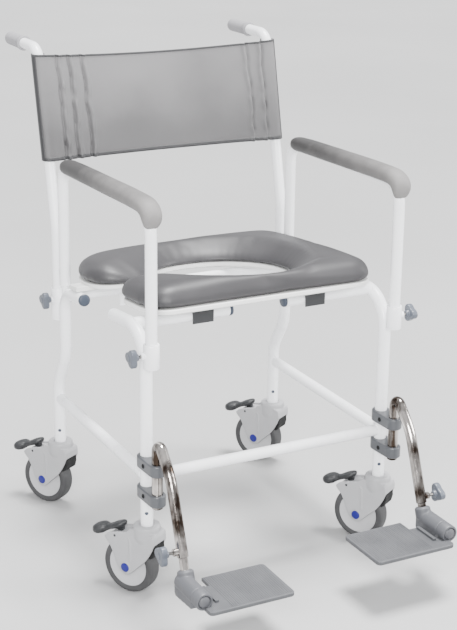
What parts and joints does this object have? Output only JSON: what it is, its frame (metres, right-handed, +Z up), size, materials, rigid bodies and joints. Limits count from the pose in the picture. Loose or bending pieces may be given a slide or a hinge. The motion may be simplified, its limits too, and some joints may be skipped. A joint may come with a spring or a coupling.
{
  "type": "commode chair",
  "caption": "Wheeled commode chair with a tube frame, keyhole seat pad, cloth back, padded lift-off arms, swing-away footrests and braked swivel castors.",
  "frame": {"origin": "on the floor, under the middle of the whole chair's bounding box", "axes": "+Z up, the sitter faces -Y, +X towards the arm whose footrest is set shorter"},
  "size_m": [0.5754, 0.855, 0.8927],
  "materials": {
    "powder_coat": "white powder coat, semi-gloss",
    "chrome_tube": "bright chrome plate",
    "housing_plastic": "light grey moulded nylon",
    "wheel_plastic": "light grey moulded wheel centre",
    "tread_rubber": "grey non-marking rubber tread",
    "pedal_plastic": "dark grey moulded plastic",
    "grey_plastic": "mid grey moulded plastic",
    "plate_plastic": "fine-ribbed grey plastic",
    "knob_plastic": "blue-grey moulded plastic with a steel stud",
    "clip_plastic": "dark grey moulded plastic",
    "white_plastic": "white moulded plastic",
    "pad_foam": "pale grey self-skinned foam",
    "grip_rubber": "pale grey soft grip",
    "cushion_skin": "smooth grey coated foam skin",
    "sling_cloth": "grey coated woven cloth"
  },
  "bodies": {
    "frame": {"front_leg_L": "powder_coat", "front_leg_R": "powder_coat", "rear_leg_L": "powder_coat", "rear_leg_R": "powder_coat", "rail_plug_L": "knob_plastic", "rail_plug_R": "knob_plastic", "stub_plug_L": "knob_plastic", "stub_plug_R": "knob_plastic", "lower_side_rail_L": "powder_coat", "lower_side_rail_R": "powder_coat", "front_cross_rail": "powder_coat", "rear_seat_rail": "powder_coat", "foot_clamp_lower_L": "grey_plastic", "foot_clamp_lower_R": "grey_plastic", "foot_clamp_upper_L": "grey_plastic", "foot_clamp_upper_R": "grey_plastic"},
    "castor_FL": {"castor_housing_FL": "housing_plastic"},
    "wheel_FL": {"castor_wheel_FL": "wheel_plastic", "castor_tyre_FL": "tread_rubber"},
    "pedal_FL": {"brake_pedal_FL": "pedal_plastic"},
    "castor_FR": {"castor_housing_FR": "housing_plastic"},
    "wheel_FR": {"castor_wheel_FR": "wheel_plastic", "castor_tyre_FR": "tread_rubber"},
    "pedal_FR": {"brake_pedal_FR": "pedal_plastic"},
    "castor_RL": {"castor_housing_RL": "housing_plastic"},
    "wheel_RL": {"castor_wheel_RL": "wheel_plastic", "castor_tyre_RL": "tread_rubber"},
    "pedal_RL": {"brake_pedal_RL": "pedal_plastic"},
    "castor_RR": {"castor_housing_RR": "housing_plastic"},
    "wheel_RR": {"castor_wheel_RR": "wheel_plastic", "castor_tyre_RR": "tread_rubber"},
    "pedal_RR": {"brake_pedal_RR": "pedal_plastic"},
    "footrest_L": {"foot_hanger_L": "chrome_tube"},
    "foot_slide_L": {"foot_slide_L": "chrome_tube", "foot_hub_L": "grey_plastic"},
    "foot_plate_L": {"foot_plate_L": "plate_plastic"},
    "foot_knob_L": {"foot_knob_L": "knob_plastic"},
    "footrest_R": {"foot_hanger_R": "chrome_tube"},
    "foot_slide_R": {"foot_slide_R": "chrome_tube", "foot_hub_R": "grey_plastic"},
    "foot_plate_R": {"foot_plate_R": "plate_plastic"},
    "foot_knob_R": {"foot_knob_R": "knob_plastic"},
    "armrest_L": {"arm_tube_L": "powder_coat", "arm_pad_L": "pad_foam"},
    "arm_knob_L": {"arm_knob_L": "knob_plastic"},
    "back_knob_L": {"back_knob_L": "knob_plastic"},
    "armrest_R": {"arm_tube_R": "powder_coat", "arm_pad_R": "pad_foam"},
    "arm_knob_R": {"arm_knob_R": "knob_plastic"},
    "back_knob_R": {"back_knob_R": "knob_plastic"},
    "backrest": {"back_tube_L": "powder_coat", "back_tube_R": "powder_coat", "push_grip_L": "grip_rubber", "push_grip_R": "grip_rubber", "back_sling": "sling_cloth"},
    "seat": {"seat_base": "white_plastic", "seat_cushion": "cushion_skin", "seat_clip_L": "clip_plastic", "seat_clip_R": "clip_plastic"}
  },
  "joints": [
    {"name": "castor_swivel_FL", "type": "hinge", "parent": "frame", "child": "castor_FL", "pos_m": [-0.22225, -0.1785, 0.13], "axis": [0, 0, 1], "continuous": true},
    {"name": "wheel_spin_FL", "type": "hinge", "parent": "castor_FL", "child": "wheel_FL", "pos_m": [-0.23873, -0.15107, 0.05], "axis": [0.8572, 0.515, 0], "continuous": true},
    {"name": "brake_rock_FL", "type": "hinge", "parent": "castor_FL", "child": "pedal_FL", "pos_m": [-0.25006, -0.13221, 0.105], "axis": [0.8572, 0.515, 0], "range_deg": [0, 12]},
    {"name": "castor_swivel_FR", "type": "hinge", "parent": "frame", "child": "castor_FR", "pos_m": [0.24575, -0.1785, 0.13], "axis": [0, 0, 1], "continuous": true},
    {"name": "wheel_spin_FR", "type": "hinge", "parent": "castor_FR", "child": "wheel_FR", "pos_m": [0.22927, -0.15107, 0.05], "axis": [0.8572, 0.515, 0], "continuous": true},
    {"name": "brake_rock_FR", "type": "hinge", "parent": "castor_FR", "child": "pedal_FR", "pos_m": [0.21794, -0.13221, 0.105], "axis": [0.8572, 0.515, 0], "range_deg": [0, 12]},
    {"name": "castor_swivel_RL", "type": "hinge", "parent": "frame", "child": "castor_RL", "pos_m": [-0.22225, 0.2235, 0.13], "axis": [0, 0, 1], "continuous": true},
    {"name": "wheel_spin_RL", "type": "hinge", "parent": "castor_RL", "child": "wheel_RL", "pos_m": [-0.23873, 0.25093, 0.05], "axis": [0.8572, 0.515, 0], "continuous": true},
    {"name": "brake_rock_RL", "type": "hinge", "parent": "castor_RL", "child": "pedal_RL", "pos_m": [-0.25006, 0.26979, 0.105], "axis": [0.8572, 0.515, 0], "range_deg": [0, 12]},
    {"name": "castor_swivel_RR", "type": "hinge", "parent": "frame", "child": "castor_RR", "pos_m": [0.24575, 0.2235, 0.13], "axis": [0, 0, 1], "continuous": true},
    {"name": "wheel_spin_RR", "type": "hinge", "parent": "castor_RR", "child": "wheel_RR", "pos_m": [0.22927, 0.25093, 0.05], "axis": [0.8572, 0.515, 0], "continuous": true},
    {"name": "brake_rock_RR", "type": "hinge", "parent": "castor_RR", "child": "pedal_RR", "pos_m": [0.21794, 0.26979, 0.105], "axis": [0.8572, 0.515, 0], "range_deg": [0, 12]},
    {"name": "footrest_swing_L", "type": "hinge", "parent": "frame", "child": "footrest_L", "pos_m": [-0.22225, -0.2215, 0.224], "axis": [0, 0, -1], "range_deg": [0, 90]},
    {"name": "foot_length_L", "type": "slide", "parent": "footrest_L", "child": "foot_slide_L", "axis": [0, -0.36, -0.933], "range_m": [-0.014, 0.048]},
    {"name": "plate_flip_L", "type": "hinge", "parent": "foot_slide_L", "child": "foot_plate_L", "pos_m": [-0.22625, -0.3585, 0.098], "axis": [0, -1, 0], "range_deg": [0, 75]},
    {"name": "foot_screw_L", "type": "hinge", "parent": "footrest_L", "child": "foot_knob_L", "pos_m": [-0.23825, -0.31698, 0.14591], "axis": [-1, 0, 0], "range_deg": [0, 720]},
    {"name": "footrest_swing_R", "type": "hinge", "parent": "frame", "child": "footrest_R", "pos_m": [0.24575, -0.2215, 0.224], "axis": [0, 0, 1], "range_deg": [0, 90]},
    {"name": "foot_length_R", "type": "slide", "parent": "footrest_R", "child": "foot_slide_R", "axis": [0, -0.36, -0.933], "range_m": [0, 0.062]},
    {"name": "plate_flip_R", "type": "hinge", "parent": "foot_slide_R", "child": "foot_plate_R", "pos_m": [0.24975, -0.35346, 0.11106], "axis": [0, 1, 0], "range_deg": [0, 75]},
    {"name": "foot_screw_R", "type": "hinge", "parent": "footrest_R", "child": "foot_knob_R", "pos_m": [0.26175, -0.31698, 0.14591], "axis": [1, 0, 0], "range_deg": [0, 720]},
    {"name": "armrest_lift_L", "type": "slide", "parent": "frame", "child": "armrest_L", "axis": [0, 0, 1], "range_m": [0, 0.05]},
    {"name": "arm_screw_L", "type": "hinge", "parent": "frame", "child": "arm_knob_L", "pos_m": [-0.24325, -0.2035, 0.449], "axis": [-1, 0, 0], "range_deg": [0, 720]},
    {"name": "back_screw_L", "type": "hinge", "parent": "frame", "child": "back_knob_L", "pos_m": [-0.24325, 0.2115, 0.425], "axis": [-1, 0, 0], "range_deg": [0, 720]},
    {"name": "armrest_lift_R", "type": "slide", "parent": "frame", "child": "armrest_R", "axis": [0, 0, 1], "range_m": [0, 0.05]},
    {"name": "arm_screw_R", "type": "hinge", "parent": "frame", "child": "arm_knob_R", "pos_m": [0.26675, -0.2035, 0.449], "axis": [1, 0, 0], "range_deg": [0, 720]},
    {"name": "back_screw_R", "type": "hinge", "parent": "frame", "child": "back_knob_R", "pos_m": [0.26675, 0.2115, 0.425], "axis": [1, 0, 0], "range_deg": [0, 720]},
    {"name": "backrest_lift", "type": "slide", "parent": "frame", "child": "backrest", "axis": [0, 0, 1], "range_m": [0, 0.06]},
    {"name": "seat_lift", "type": "slide", "parent": "frame", "child": "seat", "axis": [0, 0, 1], "range_m": [0, 0.08]}
  ]
}
